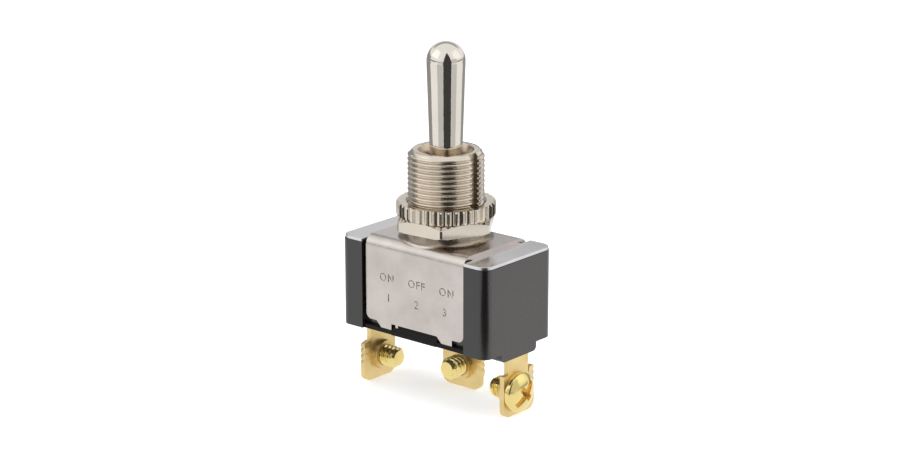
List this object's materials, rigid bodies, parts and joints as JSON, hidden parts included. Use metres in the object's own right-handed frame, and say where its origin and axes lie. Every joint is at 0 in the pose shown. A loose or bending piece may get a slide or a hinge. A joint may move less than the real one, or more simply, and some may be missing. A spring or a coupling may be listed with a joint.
{
  "type": "panel toggle switch",
  "caption": "Three-position toggle switch with a bat lever, threaded bushing with hex and knurled nuts, folded strap, moulded housing and screw terminals.",
  "frame": {"origin": "centre of the threaded bushing at the top face of the mounting strap", "axes": "+Z along the bushing towards the lever's tip, +X along the row of terminals towards the keyway side, -Y out of the strap's front face"},
  "size_m": [0.0324, 0.0164, 0.0567],
  "materials": {
    "nickel": "polished",
    "strap_steel": "satin",
    "cover_steel": "bright",
    "housing_plastic": "moulded",
    "terminal_brass": "satin",
    "screw_brass": "bright",
    "contact_silver": "satin",
    "spring_steel": "drawn",
    "plunger_plastic": "moulded"
  },
  "bodies": {
    "case": {"housing": "housing_plastic", "top_plate": "cover_steel", "mounting_bracket": "strap_steel", "bushing": "nickel", "rocker_saddle": "terminal_brass", "fixed_contact_left": "contact_silver", "fixed_contact_right": "contact_silver", "terminal_left": "terminal_brass", "terminal_centre": "terminal_brass", "terminal_right": "terminal_brass"},
    "toggle": {"lever": "nickel", "lever_pin": "spring_steel", "plunger_spring": "spring_steel"},
    "spring_plunger": {"plunger": "plunger_plastic"},
    "contact_arm": {"rocker_contact": "terminal_brass", "moving_contact_left": "contact_silver", "moving_contact_right": "contact_silver"},
    "lower_nut": {"hex_nut": "nickel"},
    "upper_nut": {"knurled_nut": "nickel"},
    "left_screw": {"screw_left": "screw_brass"},
    "centre_screw": {"screw_centre": "screw_brass"},
    "right_screw": {"screw_right": "screw_brass"}
  },
  "joints": [
    {"name": "lever_tilt", "type": "hinge", "parent": "case", "child": "toggle", "pos_m": [0, 0, 0.0075], "axis": [0, 1, 0], "range_deg": [-12.5, 12.5]},
    {"name": "rocker_tilt", "type": "hinge", "parent": "case", "child": "contact_arm", "pos_m": [0, 0, -0.009], "axis": [0, 1, 0], "range_deg": [-8, 8]},
    {"name": "plunger_slide", "type": "slide", "parent": "toggle", "child": "spring_plunger", "axis": [0, 0, 1], "range_m": [0, 0.0008], "stiffness_N_per_m": 800, "springref_m": -0.002, "deforming": ["plunger_spring"]},
    {"name": "hex_nut_travel", "type": "slide", "parent": "case", "child": "lower_nut", "axis": [0, 0, 1], "range_m": [0, 0.00317]},
    {"name": "knurled_nut_travel", "type": "slide", "parent": "lower_nut", "child": "upper_nut", "axis": [0, 0, 1], "range_m": [0, 0.00397]},
    {"name": "left_screw_travel", "type": "slide", "parent": "case", "child": "left_screw", "axis": [-1, 0, 0], "range_m": [0, 0.00238]},
    {"name": "centre_screw_travel", "type": "slide", "parent": "case", "child": "centre_screw", "axis": [0, 1, 0], "range_m": [0, 0.00238]},
    {"name": "right_screw_travel", "type": "slide", "parent": "case", "child": "right_screw", "axis": [1, 0, 0], "range_m": [0, 0.00238]}
  ],
  "couplings": [
    {"joint": "rocker_tilt", "follows": "lever_tilt", "ratio": -0.64}
  ]
}
